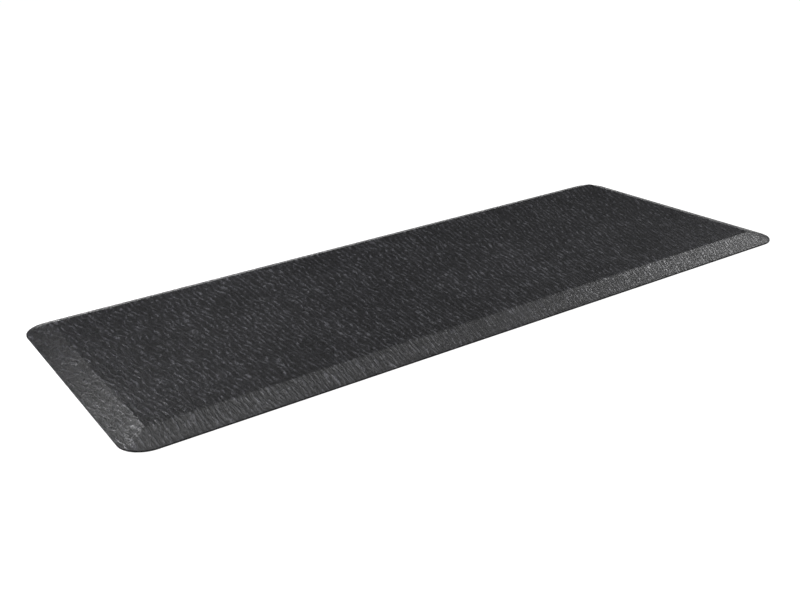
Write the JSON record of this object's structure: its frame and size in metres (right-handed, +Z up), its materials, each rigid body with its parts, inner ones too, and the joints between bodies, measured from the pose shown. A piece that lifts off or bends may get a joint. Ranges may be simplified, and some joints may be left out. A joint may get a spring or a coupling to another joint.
{
  "type": "anti-fatigue floor mat",
  "caption": "Rectangular cushioned floor mat with a leather-grain cover, ramped sides, rounded corners and a non-slip underside.",
  "frame": {"origin": "middle of the underside, on the floor", "axes": "+X along the length, +Y across the width, +Z up through the thickness"},
  "size_m": [1.524, 0.6096, 0.0191],
  "materials": {
    "rubber_sheet": "matt black rubber with a moulded grip pattern",
    "firm_foam": "dense closed-cell foam, dyed dark grey",
    "soft_foam": "soft open-cell foam, dyed mid grey",
    "grained_cover": "charcoal polyurethane skin, satin, embossed with a creased leather grain"
  },
  "bodies": {
    "root": {"base_sheet": "rubber_sheet", "support_core": "firm_foam", "comfort_foam": "soft_foam", "top_cover": "grained_cover"}
  },
  "joints": []
}
